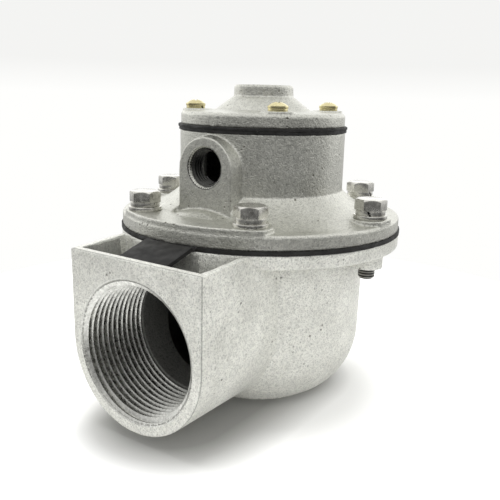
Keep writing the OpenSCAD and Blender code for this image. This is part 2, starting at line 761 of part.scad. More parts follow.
module bonnet() {
    color(metal)
        difference() {
            union() {
                difference() {
                    bonnet_outside();
                    mound_hollow();
                }
                exhaust_boss();
            }
            at_bolts()
                rod(flat_washer_r + washer_seat_gap, bolt_pad_z, shoulder_z);
            rotate_extrude()
                polygon([[0, bonnet_z - 1], [control_r, bonnet_z - 1], [control_r, bonnet_z + control_wall_h],
                         [housing_r - control_slope_t, control_top_z], [0, control_top_z]]);
            difference() {
                rod(exhaust_r, exhaust_floor_z, housing_top_z + 1);
                rod(pilot_tube_r, exhaust_floor_z - 1, pilot_seat_z);
                at_screws()
                    rod(column_r, exhaust_floor_z - 1, housing_top_z + 2);
            }
            rod(pilot_bore_r, control_top_z - 1, housing_top_z + 1);
            front_rod(exhaust_thread_r, exhaust_port_z, exhaust_r - 4, exhaust_face_y + 1);
            front_cone(exhaust_thread_r,
                       exhaust_chamfer_r + (exhaust_chamfer_r - exhaust_thread_r) / exhaust_chamfer_h,
                       exhaust_port_z, exhaust_face_y - exhaust_chamfer_h, exhaust_face_y + 1);
            at_bolts()
                rod(bolt_r + clear_fit, bonnet_z - 1, bolt_pad_z + 1);
            at_screws()
                rod(screw_r + thread_fit, screw_hole_z, housing_top_z + 1);
        }
}

module pilot_diaphragm() {
    dip = housing_top_z - pilot_seat_z;
    color(rubber)
        difference() {
            rotate_extrude()
                polygon([[pilot_rivet_r + thread_fit, pilot_seat_z], [pilot_dip_inner_r, pilot_seat_z],
                         [pilot_dip_outer_r, housing_top_z], [pilot_dia_r, housing_top_z],
                         [pilot_dia_r, gasket_z], [pilot_dip_outer_r - pilot_dip_shift, gasket_z],
                         [pilot_dip_inner_r - pilot_dip_shift, gasket_z - dip],
                         [pilot_rivet_r + thread_fit, gasket_z - dip]]);
            at_screws()
                rod(screw_r + clear_fit, housing_top_z - 1, gasket_z + 1);
        }
}

module cover_gasket() {
    color(rubber)
        difference() {
            rod(cover_gasket_r, gasket_z, cover_z);
            rod(cover_chamber_r, gasket_z - 1, cover_z + 1);
            at_screws()
                rod(screw_r + clear_fit, gasket_z - 1, cover_z + 1);
        }
}

module pilot_backing_plate() {
    color(steel)
        difference() {
            rod(pilot_plate_r, pilot_disc_z, pilot_rivet_top_z);
            rod(pilot_rivet_r + thread_fit, pilot_disc_z - 1, pilot_rivet_top_z + 1);
        }
}

module pilot_retainer_plate() {
    color(steel)
        difference() {
            rod(pilot_retainer_r, pilot_seat_z - pilot_plate_t, pilot_seat_z);
            rod(pilot_rivet_r + thread_fit, pilot_seat_z - pilot_plate_t - 1, pilot_seat_z + 1);
        }
}

module pilot_rivet() {
    low_z = pilot_seat_z - pilot_plate_t;
    color(steel) {
        rod(pilot_rivet_head_r, low_z - pilot_rivet_head_h, low_z);
        rod(pilot_rivet_r, low_z - tiny, pilot_rivet_top_z + tiny);
        rod(pilot_rivet_head_r, pilot_rivet_top_z, pilot_rivet_top_z + pilot_rivet_head_h);
    }
}

module pilot_spring() {
    color(steel)
        coil(pilot_spring_r, pilot_spring_wire_r, pilot_spring_turns, pilot_rivet_top_z, cover_chamber_z);
}

module top_cover() {
    color(metal)
        difference() {
            union() {
                rotate_extrude()
                    difference() {
                        polygon([[0, cover_z], [cover_r, cover_z], [cover_r, cover_edge_z],
                                 [cone_foot_r + cover_band, cover_top_z],
                                 [cone_foot_r, cover_top_z + cover_rise],
                                 [cone_top_r, cone_top_z], [pilot_boss_r + 0.2, cone_top_z + 0.3],
                                 [pilot_boss_r, pilot_boss_z - pilot_boss_chamfer],
                                 [pilot_boss_r - pilot_boss_chamfer, pilot_boss_z], [0, pilot_boss_z]]);
                        outer_corner(cover_r, cover_edge_z, cover_edge_r);
                    }
                intersection() {
                    rod(cover_r - 0.7, cover_z + 1, screw_pad_z);
                    at_screws()
                        rod(screw_pad_r, cover_z + 1, screw_pad_z);
                }
            }
            rod(cover_chamber_r, cover_z - 1, cover_chamber_z);
            rod(pilot_thread_r, cover_chamber_z - 1, pilot_boss_z + 1);
            cone(pilot_thread_r, pilot_chamfer_r + (pilot_chamfer_r - pilot_thread_r) / pilot_chamfer_h,
                 pilot_boss_z - pilot_chamfer_h, pilot_boss_z + 1);
            at_screws()
                rod(screw_r + clear_fit, cover_z - 1, screw_pad_z + 1);
        }
}

module flange_bolts() {
    corner_r = bolt_head_af / sqrt(3);
    color(steel)
        at_bolts() {
            intersection() {
                translate([0, 0, bolt_seat_z])
                    cylinder(r = corner_r, h = bolt_head_h, $fn = 6);
                cone(corner_r + bolt_head_h * 1.5, corner_r - 0.9,
                     bolt_seat_z - 0.8, bolt_seat_z + bolt_head_h);
            }
            rod(bolt_r, bolt_seat_z - bolt_len + 0.8, bolt_seat_z + 1);
            cone(bolt_r - 0.7, bolt_r, bolt_seat_z - bolt_len, bolt_seat_z - bolt_len + 0.8);
        }
}

// Rings with a slanting split.
module split_ring(outer_r, inner_r, z0, z1) {
    difference() {
        rod(outer_r, z0, z1);
        rod(inner_r, z0 - 1, z1 + 1);
        translate([inner_r - 1, 0, (z0 + z1) / 2])
            rotate([30, 0, 0])
                translate([0, -0.35, -4])
                    cube([outer_r, 0.7, 8]);
    }
}

module flange_spring_washers() {
    color(steel)
        at_bolts()
            rotate([0, 0, 200])
                split_ring(spring_washer_r, bolt_r + clear_fit, bolt_pad_z + flat_washer_t, bolt_seat_z);
}

module flange_flat_washers() {
    color(steel)
        at_bolts()
            difference() {
                rod(flat_washer_r, bolt_pad_z, bolt_pad_z + flat_washer_t);
                rod(bolt_r + clear_fit, bolt_pad_z - 1, bolt_pad_z + flat_washer_t + 1);
            }
}

module cover_screws() {
    dome_r = (pow(screw_head_r - 0.5, 2) + pow(screw_head_h - 0.5, 2)) / (2 * (screw_head_h - 0.5));
    color(brass)
        at_screws() {
            difference() {
                translate([0, 0, screw_seat_z])
                    rotate_extrude()
                        intersection() {
                            square([screw_head_r, screw_head_h]);
                            union() {
                                translate([0, screw_head_h - dome_r * 1.35])
                                    circle(r = dome_r * 1.35);
                                square([screw_head_r, 0.9]);
                            }
                        }
                translate([0, 0, screw_seat_z + 1])
                    for (a = [0, 90])
                        rotate([0, 0, a])
                            translate([-1.9, -0.4, 0])
                                cube([3.8, 0.8, 4]);
            }
            rod(screw_r, screw_seat_z - screw_len, screw_seat_z + tiny);
        }
}

module cover_spring_washers() {
    color(steel)
        at_screws()
            rotate([0, 0, 40])
                split_ring(screw_washer_r, screw_r + 0.15, screw_pad_z, screw_seat_z);
}

valve_body();
main_diaphragm();
main_backing_plate();
main_retainer_plate();
main_centre_screw();
main_centre_nut();
bleed_eyelet();
main_spring();
bonnet();
pilot_diaphragm();
cover_gasket();
pilot_backing_plate();
pilot_retainer_plate();
pilot_rivet();
pilot_spring();
top_cover();
flange_bolts();
flange_spring_washers();
flange_flat_washers();
cover_screws();
cover_spring_washers();
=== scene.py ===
import math

import bmesh
import bpy
from mathutils import Matrix, Vector, noise


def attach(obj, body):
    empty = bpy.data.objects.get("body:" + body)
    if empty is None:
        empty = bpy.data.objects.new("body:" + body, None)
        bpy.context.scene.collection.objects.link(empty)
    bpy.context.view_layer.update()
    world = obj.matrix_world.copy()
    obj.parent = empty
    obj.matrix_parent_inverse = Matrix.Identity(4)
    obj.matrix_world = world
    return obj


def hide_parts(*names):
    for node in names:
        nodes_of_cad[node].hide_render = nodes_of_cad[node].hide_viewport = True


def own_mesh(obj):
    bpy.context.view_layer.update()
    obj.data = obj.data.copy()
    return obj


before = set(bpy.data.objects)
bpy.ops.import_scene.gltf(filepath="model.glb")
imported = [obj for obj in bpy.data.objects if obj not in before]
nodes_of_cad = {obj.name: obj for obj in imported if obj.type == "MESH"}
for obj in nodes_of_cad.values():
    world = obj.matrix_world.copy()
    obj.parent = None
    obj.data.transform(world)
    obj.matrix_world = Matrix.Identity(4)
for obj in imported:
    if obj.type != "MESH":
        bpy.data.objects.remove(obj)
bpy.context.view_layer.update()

MM = 0.001
scene = bpy.context.scene

# Camera, in metres, with its three directions
CAMERA_PLACE = (0.14016, -0.20935, 0.11314)
CAMERA_RIGHT = (0.8191, 0.5732, 0.0234)
CAMERA_UP = (-0.1532, 0.1792, 0.9718)
CAMERA_BACK = (0.5529, -0.7996, 0.2345)
CAMERA_LENS = 46.2

# Sizes that the new pieces share with the solids, in millimetres
INLET_Z = 31.2
INLET_FACE_Y = -71.6
INLET_THREAD_END_Y = -44.6
PIPE_MINOR_R = 22.425
PIPE_MAJOR_R = 23.9
PIPE_PITCH = 2.309
OUTLET_THREAD_TOP_Z = 24.0
PORT_MINOR_R = 5.72
PORT_MAJOR_R = 6.58
PORT_PITCH = 1.337
EXHAUST_Z = 88.3
EXHAUST_FACE_Y = -35.8
PILOT_TOP_Z = 117.0
BOLT_CIRCLE_R = 47.0
BOLT_ANGLES = [30, 90, 150, 210, 270, 330]
BOLT_HEAD_Z = 73
BOWL_ROUND_Z = 24.4
BOWL_ROUND_MIDDLE_R = 12.2


def link(name, mesh):
    obj = bpy.data.objects.new(name, mesh)
    scene.collection.objects.link(obj)
    return obj


def smooth(obj, angle=None):
    for poly in obj.data.polygons:
        poly.use_smooth = True
    if angle is not None:
        obj.data.set_sharp_from_angle(angle=math.radians(angle))


def finish_mesh(obj, material, body="valve"):
    obj.data.materials.clear()
    obj.data.materials.append(material)
    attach(obj, body)


def cad_copy(node, name):
    """A merged copy of a CAD node's mesh."""
    mesh = nodes_of_cad[node].data.copy()
    mesh.name = name
    bm = bmesh.new()
    bm.from_mesh(mesh)
    bmesh.ops.remove_doubles(bm, verts=bm.verts, dist=1e-6)
    bm.to_mesh(mesh)
    bm.free()
    return link(name, mesh)


def paint(obj, material, test):
    """A second material on the faces whose middle passes the test, given in millimetres: another finish, or one with
    painted shade.
    """
    obj.data.materials.append(material)
    slot = len(obj.data.materials) - 1
    for poly in obj.data.polygons:
        if test(poly.center / MM):
            poly.material_index = slot


def ragged(obj, least_r, depth, seed):
    """The cut edge of a punched sheet: uneven, with small tears."""
    for vert in obj.data.vertices:
        r = math.hypot(vert.co.x, vert.co.y) / MM
        if r > least_r:
            angle = math.atan2(vert.co.y, vert.co.x)
            spot = Vector((math.cos(angle) * 22, math.sin(angle) * 22, seed + vert.co.z / MM * 0.9))
            torn = max(0.0, noise.noise(spot * 3.1) - 0.15) * 3
            inwards = depth * (0.5 + 0.5 * noise.noise(spot)) + depth * torn
            vert.co.x *= 1 - inwards / r
            vert.co.y *= 1 - inwards / r


def turned_ring(name, profile, centre, direction, steps=160):
    """A turned ring: the profile holds radius and depth from the centre, in millimetres."""
    bm = bmesh.new()
    corners = [bm.verts.new((r * MM, 0, depth * MM)) for r, depth in profile]
    edges = [bm.edges.new((a, b)) for a, b in zip(corners, corners[1:] + corners[:1])]
    bmesh.ops.spin(bm, geom=corners + edges, cent=(0, 0, 0), axis=(0, 0, 1), angle=2 * math.pi, steps=steps)
    bmesh.ops.remove_doubles(bm, verts=bm.verts, dist=1e-7)
    bmesh.ops.recalc_face_normals(bm, faces=bm.faces)
    turn = Vector((0, 0, 1)).rotation_difference(Vector(direction))
    bmesh.ops.transform(bm, matrix=Matrix.Translation(Vector(centre) * MM) @ turn.to_matrix().to_4x4(),
                        verts=bm.verts)
    mesh = bpy.data.meshes.new(name)
    bm.to_mesh(mesh)
    bm.free()
    ring = link(name, mesh)
    smooth(ring, 30)
    return ring


def sheet_zone(node, name, r_min, r_max):
    """The part of a moulded sheet between two radii, closed again where it is cut off."""
    obj = cad_copy(node, name)
    bm = bmesh.new()
    bm.from_mesh(obj.data)
    away = [f for f in bm.faces if not r_min < f.calc_center_median().xy.length / MM < r_max]
    bmesh.ops.delete(bm, geom=away, context="FACES")
    for edge_r in (r_min, r_max):
        loops = [e for e in bm.edges if e.is_boundary
                 and abs(e.verts[0].co.xy.length / MM - edge_r) < 1.5]
        if loops:
            bmesh.ops.bridge_loops(bm, edges=loops)
    bmesh.ops.recalc_face_normals(bm, faces=bm.faces)
    bm.to_mesh(obj.data)
    bm.free()
    return obj


def settle(obj):
    """Applies the modifiers to the mesh."""
    graph = bpy.context.evaluated_depsgraph_get()
    done = bpy.data.meshes.new_from_object(obj.evaluated_get(graph))
    obj.modifiers.clear()
    obj.data = done


def cast_skin(node, name, voxel, rounds, ratio, widen=()):
    """The casting with its sharp edges and corners softened the way sand and die work leave them."""
    obj = cad_copy(node, name)
    for test, axis_point, axis, new_r in widen:
        for vert in obj.data.vertices:
            if test(vert.co):
                foot = axis_point + axis * (vert.co - axis_point).dot(axis)
                out = (vert.co - foot).normalized()
                vert.co = foot + out * new_r
    remesh = obj.modifiers.new("skin", "REMESH")
    remesh.mode = "VOXEL"
    remesh.voxel_size = voxel * MM
    soften = obj.modifiers.new("soften", "SMOOTH")
    soften.factor = 0.5
    soften.iterations = rounds
    if ratio < 1:
        thin = obj.modifiers.new("thin", "DECIMATE")
        thin.ratio = ratio
    settle(obj)
    smooth(obj)
    return obj


def bevelled(node, name, width, angle=28, segments=2):
    """A turned, stamped or machined piece with its edges broken."""
    obj = cad_copy(node, name)
    edge = obj.modifiers.new("edge", "BEVEL")
    edge.limit_method = "ANGLE"
    edge.angle_limit = math.radians(angle)
    edge.width = width * MM
    edge.segments = segments
    settle(obj)
    smooth(obj, 40)
    return obj


def screw_ridge(name, outer_r, crest_r, pitch, length, turn_steps, centre, direction, chamfer_r, chamfer_h):
    """A helical ridge inside a hole: base against the wall, crest towards the axis, cut back by the mouth's chamfer."""
    bm = bmesh.new()
    half = pitch * 0.5
    depth = outer_r - crest_r
    outline = [(outer_r + 0.25, -half * 0.98), (outer_r, -half * 0.9), (outer_r - depth * 0.86, -half * 0.2),
               (crest_r, -half * 0.1), (crest_r, half * 0.1), (outer_r - depth * 0.86, half * 0.2),
               (outer_r, half * 0.9), (outer_r + 0.25, half * 0.98)]
    verts = [bm.verts.new((r * MM, 0, z * MM)) for r, z in outline]
    face = bm.faces.new(verts)
    turns = length / pitch
    steps = int(turns * turn_steps)
    bmesh.ops.spin(bm, geom=[face], cent=(0, 0, 0), axis=(0, 0, 1), angle=turns * math.tau,
                   steps=steps, dvec=(0, 0, length * MM / steps), use_merge=False, use_duplicate=False)
    bmesh.ops.remove_doubles(bm, verts=bm.verts, dist=1e-7)
    for vert in bm.verts:
        vert.co.z = min(max(vert.co.z, 0), length * MM)
        r = math.hypot(vert.co.x, vert.co.y)
        depth_in = vert.co.z / MM
        least = (chamfer_r - (chamfer_r - crest_r) * depth_in / chamfer_h) * MM
        if r < least:
            vert.co.x *= least / r
            vert.co.y *= least / r
    bmesh.ops.remove_doubles(bm, verts=bm.verts, dist=1e-6)
    bmesh.ops.dissolve_degenerate(bm, edges=bm.edges, dist=1e-6)
    bmesh.ops.recalc_face_normals(bm, faces=bm.faces)
    turn = Vector((0, 0, 1)).rotation_difference(Vector(direction)).to_matrix().to_4x4()
    bmesh.ops.transform(bm, matrix=Matrix.Translation(Vector(centre) * MM) @ turn, verts=bm.verts)
    mesh = bpy.data.meshes.new(name)
    bm.to_mesh(mesh)
    bm.free()
    obj = link(name, mesh)
    smooth(obj, 50)
    return obj


# ---------------------------------------------------------------- materials


class Shader:
    """A small builder for node materials on Object coordinates."""

    def __init__(self, name, metallic, roughness):
        self.material = bpy.data.materials.new(name)
        self.material.use_nodes = True
        self.tree = self.material.node_tree
        self.bsdf = self.tree.nodes["Principled BSDF"]
        self.bsdf.inputs["Metallic"].default_value = metallic
        self.bsdf.inputs["Roughness"].default_value = roughness
        self.place = self.tree.nodes.new("ShaderNodeTexCoord").outputs["Object"]

    def node(self, kind, **values):
        made = self.tree.nodes.new(kind)
        for key, value in values.items():
            if key in made.inputs:
                made.inputs[key].default_value = value
            else:
                setattr(made, key, value)
        return made

    def link(self, out, into):
        self.tree.links.new(out, into)

    def noise(self, scale, detail=3.0, rough=0.5, coords=None):
        made = self.node("ShaderNodeTexNoise")
        made.inputs["Scale"].default_value = scale
        made.inputs["Detail"].default_value = detail
        made.inputs["Roughness"].default_value = rough
        self.link(coords or self.place, made.inputs["Vector"])
        return made.outputs["Fac"]

    def cells(self, scale, feature="F1"):
        made = self.node("ShaderNodeTexVoronoi")
        made.feature = feature
        made.inputs["Scale"].default_value = scale
        self.link(self.place, made.inputs["Vector"])
        return made.outputs["Distance"]

    def ramp(self, value, stops):
        made = self.node("ShaderNodeValToRGB")
        ramp = made.color_ramp
        while len(ramp.elements) < len(stops):
            ramp.elements.new(0.5)
        for element, (at, colour) in zip(ramp.elements, stops):
            element.position = at
            element.color = colour if len(colour) == 4 else (*colour, 1)
        self.link(value, made.inputs["Fac"])
        return made.outputs["Color"]

    def grey(self, value, low, high, at0=0.3, at1=0.7):
        made = self.node("ShaderNodeMapRange")
        made.inputs["From Min"].default_value = at0
        made.inputs["From Max"].default_value = at1
        made.inputs["To Min"].default_value = low
        made.inputs["To Max"].default_value = high
        self.link(value, made.inputs["Value"])
        return made.outputs["Result"]

    def mix(self, a, b, factor, blend="MIX"):
        made = self.node("ShaderNodeMix")
        made.data_type = "RGBA"
        made.blend_type = blend
        made.clamp_factor = True
        if isinstance(factor, float):
            made.inputs["Factor"].default_value = factor
        else:
            self.link(factor, made.inputs["Factor"])
        colour_inputs = [s for s in made.inputs if s.type == "RGBA"]
        for socket, value in zip(colour_inputs, (a, b)):
            if isinstance(value, tuple):
                socket.default_value = value if len(value) == 4 else (*value, 1)
            else:
                self.link(value, socket)
        return [s for s in made.outputs if s.type == "RGBA"][0]

    def maths(self, operation, a, b):
        made = self.node("ShaderNodeMath")
        made.operation = operation
        for socket, value in zip(made.inputs, (a, b)):
            if isinstance(value, (int, float)):
                socket.default_value = value
            else:
                self.link(value, socket)
        return made.outputs["Value"]

    def along(self, axis):
        made = self.node("ShaderNodeSeparateXYZ")
        self.link(self.place, made.inputs["Vector"])
        return made.outputs[axis]

    def distance(self, point_mm):
        """How far each place lies from a point given in millimetres."""
        made = self.node("ShaderNodeVectorMath", operation="DISTANCE")
        self.link(self.place, made.inputs[0])
        made.inputs[1].default_value = [value * MM for value in point_mm]
        return made.outputs["Value"]

    def bump(self, height, strength, distance_mm, under=None):
        made = self.node("ShaderNodeBump")
        made.inputs["Strength"].default_value = strength
        made.inputs["Distance"].default_value = distance_mm * MM
        self.link(height, made.inputs["Height"])
        if under is not None:
            self.link(under, made.inputs["Normal"])
        return made.outputs["Normal"]

    def finish(self, colour=None, roughness=None, normal=None):
        if colour is not None:
            self.link(colour, self.bsdf.inputs["Base Color"])
        if roughness is not None:
            self.link(roughness, self.bsdf.inputs["Roughness"])
        if normal is not None:
            self.link(normal, self.bsdf.inputs["Normal"])
        return self.material


PIT_CLUSTERS = [((30.3, -27.2, 25.9), 5.0), ((35.8, -19.4, 28.5), 4.5), ((26.4, -31.0, 27.0), 4.0),
                ((33.9, -22.5, 19.5), 3.5)]


def cast_aluminium(name, metallic, light, dark, contrast, grain, rough_low, rough_high, bump_mm, shade=1.0):
    """Die-cast aluminium: a cloudy skin, light and dark grains of two sizes, scratches and a few pits with painted
    shade; shade below 1 darkens it all as painted shade, and the body's skin has painted shade on the inlet face's rim.
    """
    s = Shader(name, metallic, 0.5)
    # shade below 1 darkens the whole skin: painted shade.
    low = [value * shade for value in dark]
    high = [value * shade for value in light]
    base = s.ramp(s.noise(70, 4, 0.55), [(0.3, low), (0.7, high)])
    fine = s.noise(grain, 2, 0.6)
    less = 1.0 - contrast
    grains = s.ramp(fine, [(0.3, (less, less, less)), (0.52, (1, 1, 1)), (0.7, (1.0, 1.0, 1.0))])
    colour = s.mix(base, grains, 1.0, "MULTIPLY")
    patches = s.noise(grain * 0.4, 3, 0.65)
    middle = 1.0 - contrast * 0.45
    colour = s.mix(colour, s.ramp(patches, [(0.36, (middle, middle, middle)), (0.6, (1, 1, 1))]), 1.0, "MULTIPLY")
    rough = s.grey(patches, rough_low, rough_high)
    skin = s.bump(fine, 0.7, bump_mm)
    skin = s.bump(patches, 0.5, bump_mm * 1.6, skin)
    thin_out = s.ramp(s.noise(160, 2, 0.5), [(0.58, (1, 1, 1)), (0.64, (0, 0, 0))])
    if name.startswith("cast_body"):
        # Painted shade: a thin band 0.4 mm behind the inlet's face, on the face's rounded rim, darkened to 0.45.
        painted_rim_shade_distance = s.maths("ABSOLUTE", s.maths("ADD", s.along("Y"), -(INLET_FACE_Y + 0.4) * MM), 0)
        colour = s.mix(colour, s.grey(painted_rim_shade_distance, 0.45, 1.0, 0.05 * MM, 0.35 * MM), 1.0, "MULTIPLY")
        for middle_of_cluster, reach_mm in PIT_CLUSTERS:
            away = s.grey(s.distance(middle_of_cluster), 0, 1, reach_mm * 0.4 * MM, reach_mm * MM)
            thin_out = s.mix((0, 0, 0), thin_out, away)
    # Pits: small dents in the bump, with their dark colour as painted shade for the inside of each pit.
    pits = s.ramp(s.cells(430), [(0.1, (0, 0, 0)), (0.24, (1, 1, 1))])
    pit_dents_painted_shade = s.mix(pits, (1, 1, 1), thin_out)
    colour = s.mix(colour, s.mix((0.32, 0.31, 0.29), (1, 1, 1), pit_dents_painted_shade), 1.0, "MULTIPLY")
    skin = s.bump(pit_dents_painted_shade, 0.8, 0.25, skin)
    wave = s.bump(s.noise(90, 2, 0.5), 0.3, 0.6, skin)
    return s.finish(colour, rough, wave)


def thread_painted_shade_and_highlight(name, low, high, pitch_mm):
    """Plated thread: painted shade in the roots and painted highlights on the crests, in stripes at the screw's pitch.
    """
    s = Shader(name, 1.0, 0.35)
    turns = s.maths("SINE", s.maths("MULTIPLY", s.along("Z"), 2 * math.pi / (pitch_mm * MM)), 0)
    colour = s.mix(s.ramp(s.grey(turns, 0, 1, -1, 1), [(0.25, low), (0.8, high)]),
                   s.ramp(s.noise(700, 3, 0.6), [(0.3, (0.6, 0.6, 0.6)), (0.7, (1, 1, 1))]), 1.0, "MULTIPLY")
    return s.finish(colour, s.grey(s.noise(600, 2, 0.5), 0.3, 0.5), s.bump(turns, 0.6, 0.3))


def machined_aluminium(name, shade):
    # shade below 1 darkens the whole finish: painted shade.
    s = Shader(name, 1.0, 0.28)
    low = [shade * value for value in (0.6, 0.6, 0.57)]
    high = [shade * value for value in (0.92, 0.92, 0.88)]
    colour = s.ramp(s.noise(900, 3, 0.6), [(0.3, low), (0.7, high)])
    rough = s.grey(s.noise(600, 2, 0.5), 0.2, 0.38)
    return s.finish(colour, rough, s.bump(s.noise(1800, 2, 0.5), 0.2, 0.03))


def rubber(name, low, high):
    s = Shader(name, 0.0, 0.6)
    colour = s.ramp(s.noise(500, 4, 0.6), [(0.3, low), (0.7, high)])
    rough = s.grey(s.noise(300, 3, 0.5), 0.5, 0.75)
    normal = s.bump(s.noise(900, 3, 0.6), 0.5, 0.12)
    return s.finish(colour, rough, s.bump(s.noise(160, 2, 0.5), 0.4, 0.4, normal))


def plated_steel(name, low, high, rough_low=0.22, rough_high=0.42):
    s = Shader(name, 1.0, 0.3)
    colour = s.ramp(s.noise(350, 4, 0.6), [(0.3, low), (0.7, high)])
    rough = s.grey(s.noise(700, 3, 0.5), rough_low, rough_high)
    return s.finish(colour, rough, s.bump(s.noise(500, 3, 0.5), 0.25, 0.06))


BODY_LIGHT = (0.95, 0.95, 0.89)
BODY_DARK = (0.78, 0.78, 0.725)
BONNET_LIGHT = (0.84, 0.84, 0.78)
BONNET_DARK = (0.68, 0.68, 0.625)
cast_body = cast_aluminium("cast_body_skin", 0.55, BODY_LIGHT, BODY_DARK, 0.4, 2000, 0.34, 0.58, 0.42)
# Painted shade: the insides of the body's bores and chamber, and its pocket, use the cast skin darkened to 0.24 and
# 0.55.
cast_body_painted_hollow_shade = cast_aluminium("cast_hollow_painted_shade_skin", 0.5, BODY_LIGHT, BODY_DARK, 0.5, 1700, 0.5, 0.7, 0.14, 0.24)
cast_pocket_painted_shade = cast_aluminium("cast_pocket_painted_shade_skin", 0.5, BODY_LIGHT, BODY_DARK, 0.45, 1700, 0.45, 0.65, 0.14, 0.55)
cast_bonnet = cast_aluminium("cast_bonnet_skin", 0.98, BONNET_LIGHT, BONNET_DARK, 0.34, 1900, 0.3, 0.46, 0.26)
# Painted shade: the bonnet's exhaust port and chamber use its cast skin darkened to 0.75.
cast_bonnet_painted_hollow_shade = cast_aluminium("cast_chamber_painted_shade_skin", 0.7, BONNET_LIGHT, BONNET_DARK, 0.4, 1500, 0.4, 0.6, 0.1, 0.75)
cast_cover = cast_aluminium("cast_cover_skin", 0.98, BONNET_LIGHT, BONNET_DARK, 0.34, 1900, 0.3, 0.46, 0.26)
cut_thread = machined_aluminium("cut_thread_metal", 1.0)
# Threads inside the small ports: the machined finish with painted shade, darkened to a tenth.
port_thread_painted_shade = machined_aluminium("port_thread_painted_shade_metal", 0.1)
black_rubber = rubber("black_rubber_sheet", (0.004, 0.004, 0.004), (0.014, 0.0135, 0.013))
zinc = plated_steel("zinc_plating", (0.45, 0.44, 0.41), (0.9, 0.89, 0.84), 0.14, 0.32)
zinc_thread_painted_light = thread_painted_shade_and_highlight("zinc_thread_painted_shade_and_highlight", (0.05, 0.05, 0.05), (0.42, 0.41, 0.38), 1.0)
yellow_zinc = plated_steel("yellow_zinc_plating", (0.6, 0.52, 0.27), (0.9, 0.82, 0.5), 0.14, 0.3)
stainless = plated_steel("stainless_sheet", (0.45, 0.45, 0.45), (0.62, 0.62, 0.61))
brass = plated_steel("brass_tube", (0.55, 0.4, 0.16), (0.72, 0.55, 0.25))

# ---------------------------------------------------------------- castings

inlet_axis_point = Vector((0, 0, INLET_Z)) * MM
along_y = Vector((0, 1, 0))
along_z = Vector((0, 0, 1))


def near(value, target, room=0.04):
    return abs(value - target) < room


def on_inlet_wall(co):
    r = math.hypot(co.x, co.z - INLET_Z * MM) / MM
    inside = INLET_FACE_Y + 0.9 < co.y / MM < INLET_THREAD_END_Y - 0.05
    return inside and PIPE_MINOR_R - 0.05 < r < PIPE_MAJOR_R + 0.05


def on_outlet_wall(co):
    r = math.hypot(co.x, co.y) / MM
    inside = 0.5 < co.z / MM < OUTLET_THREAD_TOP_Z - 0.05
    return inside and PIPE_MINOR_R - 0.05 < r < PIPE_MAJOR_R + 0.05


def on_exhaust_wall(co):
    r = math.hypot(co.x, co.z - EXHAUST_Z * MM) / MM
    return near(r, PORT_MINOR_R) and co.y < -0.02


def on_pilot_wall(co):
    r = math.hypot(co.x, co.y) / MM
    return near(r, PORT_MINOR_R) and co.z > 0.1


def in_body_hollow(place):
    in_inlet = math.hypot(place.x, place.z - INLET_Z) < 24.4 and INLET_FACE_Y + 1.2 < place.y < -20
    r = math.hypot(place.x, place.y)
    in_ring = r < 37.7 and BOWL_ROUND_Z - 1 < place.z < 63
    in_round = math.hypot(r - BOWL_ROUND_MIDDLE_R, place.z - BOWL_ROUND_Z) < 25.5 and 4.7 < place.z < 63
    in_outlet = r < 24.1 and place.z > 0.6
    return in_inlet or in_ring or in_round or in_outlet


def in_pocket(place):
    return abs(place.x) < 26.3 and -69.2 < place.y < -53 and 43 < place.z < 61.8


def in_bonnet_hollow(place):
    in_port = math.hypot(place.x, place.z - EXHAUST_Z) < 7.0 and EXHAUST_FACE_Y + 1.5 < place.y < -25
    in_chamber = math.hypot(place.x, place.y) < 28.5 and 78.8 < place.z < 99.5
    return in_port or in_chamber


body_skin = cast_skin("valve_body", "valve_body_casting", 0.42, 1, 0.22, [
    (on_inlet_wall, inlet_axis_point, along_y, (PIPE_MAJOR_R + 0.1) * MM),
    (on_outlet_wall, Vector((0, 0, 0)), along_z, (PIPE_MAJOR_R + 0.1) * MM)])
finish_mesh(body_skin, cast_body, "valve")
# Painted shade on the faces inside the bores, the chamber and the pocket.
paint(body_skin, cast_body_painted_hollow_shade, in_body_hollow)
paint(body_skin, cast_pocket_painted_shade, in_pocket)
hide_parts("valve_body")

bonnet_skin = cast_skin("bonnet", "bonnet_casting", 0.36, 2, 0.3, [
    (on_exhaust_wall, Vector((0, 0, EXHAUST_Z)) * MM, along_y, (PORT_MAJOR_R + 0.05) * MM)])
finish_mesh(bonnet_skin, cast_bonnet, "valve")
# Painted shade on the faces inside the exhaust port and the chamber.
paint(bonnet_skin, cast_bonnet_painted_hollow_shade, in_bonnet_hollow)
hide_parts("bonnet")

cover_skin = cast_skin("top_cover", "top_cover_casting", 0.34, 3, 0.6, [
    (on_pilot_wall, Vector((0, 0, 0)), along_z, (PORT_MAJOR_R + 0.05) * MM)])
finish_mesh(cover_skin, cast_cover, "valve")
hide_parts("top_cover")

# ---------------------------------------------------------------- threads

inlet_thread = screw_ridge("inlet_thread_turns", PIPE_MAJOR_R + 0.1, PIPE_MINOR_R, PIPE_PITCH,
                           INLET_THREAD_END_Y - INLET_FACE_Y, 96, (0, INLET_FACE_Y, INLET_Z), (0, 1, 0), 24.8, 1.5)
finish_mesh(inlet_thread, cut_thread, "valve")
outlet_thread = screw_ridge("outlet_thread_turns", PIPE_MAJOR_R + 0.1, PIPE_MINOR_R, PIPE_PITCH,
                            OUTLET_THREAD_TOP_Z, 96, (0, 0, 0), (0, 0, 1), 24.0, 0.8)
finish_mesh(outlet_thread, cut_thread, "valve")
exhaust_thread = screw_ridge("exhaust_thread_turns", PORT_MAJOR_R + 0.05, PORT_MINOR_R, PORT_PITCH,
                             7.2, 48, (0, EXHAUST_FACE_Y, EXHAUST_Z), (0, 1, 0), 7.6, 1.8)
finish_mesh(exhaust_thread, port_thread_painted_shade, "valve")
pilot_thread = screw_ridge("pilot_thread_turns", PORT_MAJOR_R + 0.05, PORT_MINOR_R, PORT_PITCH,
                           10.2, 48, (0, 0, PILOT_TOP_Z), (0, 0, -1), 7.4, 1.2)
